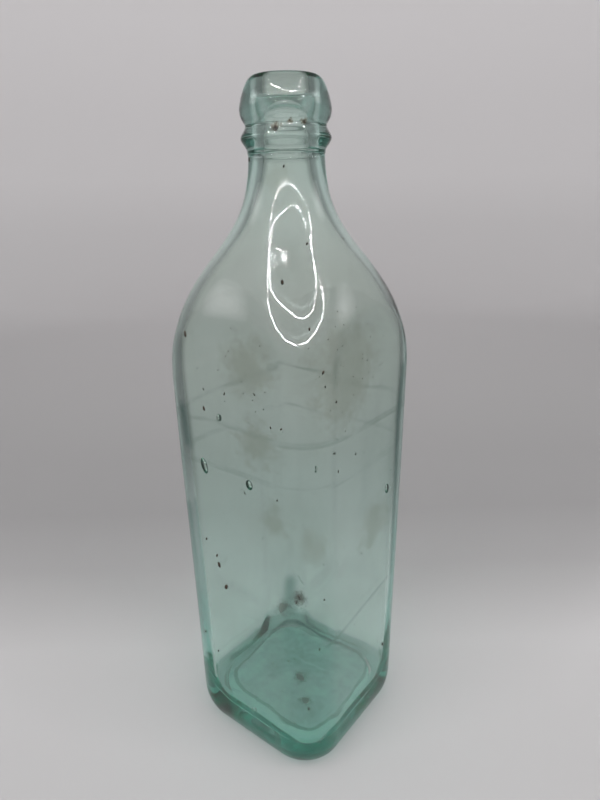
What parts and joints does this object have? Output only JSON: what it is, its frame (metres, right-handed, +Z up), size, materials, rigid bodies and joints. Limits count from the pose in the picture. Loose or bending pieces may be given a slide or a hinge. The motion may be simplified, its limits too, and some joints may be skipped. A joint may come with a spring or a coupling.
{
  "type": "glass bottle",
  "caption": "Square hand-blown glass bottle with a round shoulder and neck, a tooled blob and ring lip and a hollow base.",
  "frame": {"origin": "centre of the base, on the plane that the bottle stands on", "axes": "+Z up along the neck, +X and +Y square to two of the flat sides"},
  "size_m": [0.072, 0.072, 0.255],
  "materials": {
    "body_glass": "glossy, slightly wavy, pale aqua",
    "lip_glass": "glossy, tooled, pale aqua"
  },
  "bodies": {
    "root": {"bottle_body": "body_glass", "applied_lip": "lip_glass"}
  },
  "joints": []
}
